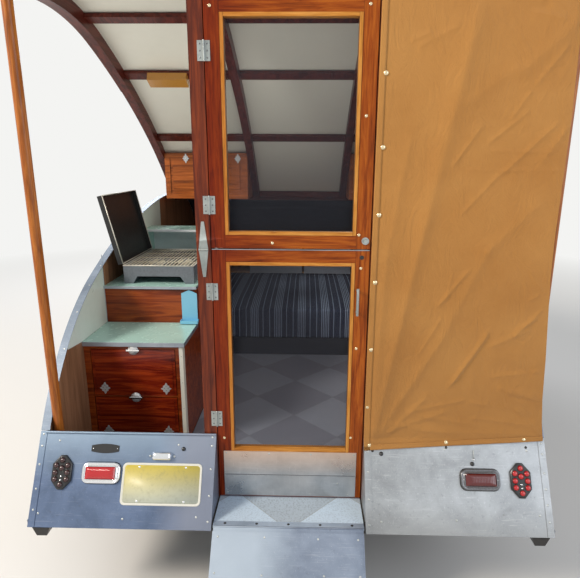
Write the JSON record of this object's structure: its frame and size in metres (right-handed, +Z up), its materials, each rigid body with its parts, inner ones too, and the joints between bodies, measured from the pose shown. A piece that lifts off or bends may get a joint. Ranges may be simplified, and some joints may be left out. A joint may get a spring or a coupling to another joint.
{
  "type": "teardrop trailer",
  "caption": "Teardrop camping trailer with a ribbed clamshell roof propped open, split screen door, galley, canvas side and fold-down step.",
  "frame": {"origin": "on the ground under the middle of the bounding box", "axes": "+X to the right and +Y forward to the hitch, seen from behind the door; +Z up"},
  "size_m": [1.95, 4.292, 2.3737],
  "materials": {
    "varnished_wood": "gloss varnish over reddish mahogany",
    "bead_wood": "gloss varnish over pale pine moulding",
    "holder_paint": "light blue enamel on thin sheet steel",
    "dark_wood": "satin dark red-brown stain",
    "plywood": "satin varnish over plywood",
    "cream_panel": "satin cream paint on the roof panels",
    "body_panel": "plywood faced with dull aluminium sheet",
    "mint_top": "mint laminate on plywood with a metal edge",
    "aluminium_sheet": "dull worn sheet",
    "galvanised": "zinc-plated steel fittings",
    "chassis_paint": "satin black paint on steel",
    "wheel_paint": "gloss cream paint on pressed steel",
    "tyre": "dull black rubber",
    "screen": "fine dark insect mesh",
    "canvas": "tan cotton canvas",
    "ticking": "navy ticking with pale stripes",
    "stove_enamel": "grey enamel on pressed steel",
    "lamp_red": "clear red lenses in bright bezels",
    "lamp_amber": "amber lens",
    "plate_pale": "pale yellow painted plate, bare"
  },
  "bodies": {
    "trailer": {"floor_deck": "plywood", "nose_panel": "aluminium_sheet", "hinge_beam": "dark_wood", "roof_skin": "cream_panel", "roof_frame": "dark_wood", "door_frame": "dark_wood", "frame_hardware": "galvanised", "galley_carcass": "varnished_wood", "galley_counters": "mint_top", "stove_body": "stove_enamel", "bench_right": "varnished_wood", "bed_base": "plywood", "mattress": "ticking", "canvas_rear": "canvas", "canvas_side": "canvas", "tail_lamps": "lamp_red", "cluster_lamps": "lamp_red", "number_plate": "plate_pale", "roof_lamp": "lamp_amber", "chassis_frame": "chassis_paint", "coupler": "galvanised", "jack_tube": "galvanised", "axle_and_springs": "chassis_paint", "wheel_wells": "chassis_paint", "wall_holder": "holder_paint", "foot_shelf": "plywood", "shelf_panels": "body_panel", "side_wall_left": "body_panel", "rear_panel_left": "body_panel", "corner_pole_left": "bead_wood", "roof_locker_left": "varnished_wood", "side_wall_right": "body_panel", "rear_panel_right": "body_panel", "corner_pole_right": "bead_wood", "roof_locker_right": "varnished_wood"},
    "upper_door": {"upper_door": "varnished_wood", "upper_bead": "bead_wood", "upper_screen": "screen", "upper_door_hardware": "galvanised"},
    "lower_door": {"lower_door": "varnished_wood", "lower_bead": "bead_wood", "lower_screen": "screen", "lower_door_hardware": "galvanised", "kick_plate": "aluminium_sheet"},
    "step_flap": {"step_flap": "body_panel"},
    "galley_flap_upper": {"galley_flap_upper": "varnished_wood"},
    "galley_flap_lower": {"galley_flap_lower": "varnished_wood"},
    "stove_lid": {"stove_lid": "stove_enamel"},
    "jack_leg": {"jack_leg": "galvanised"},
    "wheel_left": {"wheel_rim_left": "wheel_paint", "tyre_left": "tyre"},
    "wheel_right": {"wheel_rim_right": "wheel_paint", "tyre_right": "tyre"},
    "locker_door_left_inner": {"locker_door_left_inner": "varnished_wood"},
    "locker_door_left_outer": {"locker_door_left_outer": "varnished_wood"},
    "locker_door_right_inner": {"locker_door_right_inner": "varnished_wood"},
    "locker_door_right_outer": {"locker_door_right_outer": "varnished_wood"}
  },
  "joints": [
    {"name": "wheel_left_spin", "type": "hinge", "parent": "trailer", "child": "wheel_left", "pos_m": [-0.855, -0.49205, 0.295], "axis": [1, 0, 0], "continuous": true},
    {"name": "wheel_right_spin", "type": "hinge", "parent": "trailer", "child": "wheel_right", "pos_m": [0.855, -0.49205, 0.295], "axis": [1, 0, 0], "continuous": true},
    {"name": "upper_door_swing", "type": "hinge", "parent": "trailer", "child": "upper_door", "pos_m": [-0.2815, -1.76605, 1.82], "axis": [0, 0, -1], "range_deg": [0, 110]},
    {"name": "lower_door_swing", "type": "hinge", "parent": "trailer", "child": "lower_door", "pos_m": [-0.2815, -1.76605, 0.92], "axis": [0, 0, -1], "range_deg": [0, 85]},
    {"name": "step_flap_fold", "type": "hinge", "parent": "trailer", "child": "step_flap", "pos_m": [0, -1.93555, 0.42], "axis": [1, 0, 0], "range_deg": [-169, 0]},
    {"name": "galley_flap_upper_drop", "type": "hinge", "parent": "trailer", "child": "galley_flap_upper", "pos_m": [-0.7285, -1.38855, 0.6728], "axis": [1, 0, 0], "range_deg": [0, 90]},
    {"name": "galley_flap_lower_drop", "type": "hinge", "parent": "trailer", "child": "galley_flap_lower", "pos_m": [-0.7285, -1.38855, 0.4528], "axis": [1, 0, 0], "range_deg": [0, 90]},
    {"name": "stove_lid_tilt", "type": "hinge", "parent": "trailer", "child": "stove_lid", "pos_m": [-0.869, -0.79705, 1.2228], "axis": [0, -1, 0], "range_deg": [-103, 0]},
    {"name": "jack_leg_slide", "type": "slide", "parent": "trailer", "child": "jack_leg", "axis": [0, 0, 1], "range_m": [0, 0.25]},
    {"name": "locker_door_left_inner_lift", "type": "hinge", "parent": "trailer", "child": "locker_door_left_inner", "pos_m": [-0.48265, -0.06055, 1.7862], "axis": [-1, 0, 0], "range_deg": [0, 70]},
    {"name": "locker_door_left_outer_lift", "type": "hinge", "parent": "trailer", "child": "locker_door_left_outer", "pos_m": [-0.76235, -0.06055, 1.7862], "axis": [-1, 0, 0], "range_deg": [0, 70]},
    {"name": "locker_door_right_inner_lift", "type": "hinge", "parent": "trailer", "child": "locker_door_right_inner", "pos_m": [0.48265, -0.06055, 1.7862], "axis": [-1, 0, 0], "range_deg": [0, 70]},
    {"name": "locker_door_right_outer_lift", "type": "hinge", "parent": "trailer", "child": "locker_door_right_outer", "pos_m": [0.76235, -0.06055, 1.7862], "axis": [-1, 0, 0], "range_deg": [0, 70]}
  ]
}
